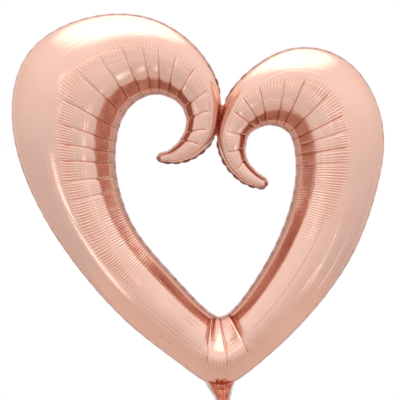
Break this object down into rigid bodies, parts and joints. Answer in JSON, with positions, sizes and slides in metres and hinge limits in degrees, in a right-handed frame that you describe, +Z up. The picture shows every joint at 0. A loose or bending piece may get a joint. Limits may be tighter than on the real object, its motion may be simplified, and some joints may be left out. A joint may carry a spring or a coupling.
{
  "type": "open heart foil balloon",
  "caption": "Gas-filled foil balloon: one film tube bent into an open heart whose lobes curl in to pointed hooks, with a flat filling tail under its point.",
  "frame": {"origin": "the neck on the weld plane, under the heart's point, where a ribbon or weight is tied", "axes": "+X to the right of the front, +Y to the back (the front faces -Y), +Z up"},
  "size_m": [0.8741, 0.2534, 0.9501],
  "materials": {
    "foil": "metallised film, rose gold, satin mirror",
    "foil_weld": "welded metallised film, duller rose gold",
    "foil_gather": "gathered metallised film, copper rose",
    "valve_film": "thin clear film"
  },
  "bodies": {
    "balloon": {"front_panel": "foil", "back_panel": "foil", "seam_margin": "foil_weld", "cleft_web": "foil_weld", "neck_front": "foil_gather", "neck_back": "foil_gather", "valve_back_film": "valve_film"},
    "tail": {"tail_front": "foil_gather", "tail_back": "foil_gather", "tail_side_welds": "foil_weld", "valve_front_sleeve": "valve_film", "valve_back_sleeve": "valve_film", "valve_mouth_welds": "valve_film"},
    "valve_flap": {"valve_front_flap": "valve_film"}
  },
  "joints": [
    {"name": "tail_fold", "type": "hinge", "parent": "balloon", "child": "tail", "pos_m": [0, 0, -0.006], "axis": [1, 0, 0], "range_deg": [-90, 90]},
    {"name": "valve_gape", "type": "hinge", "parent": "balloon", "child": "valve_flap", "pos_m": [0, -0.00035, -0.002], "axis": [1, 0, 0], "range_deg": [0, 4], "stiffness_Nm_per_rad": 0.0005}
  ]
}
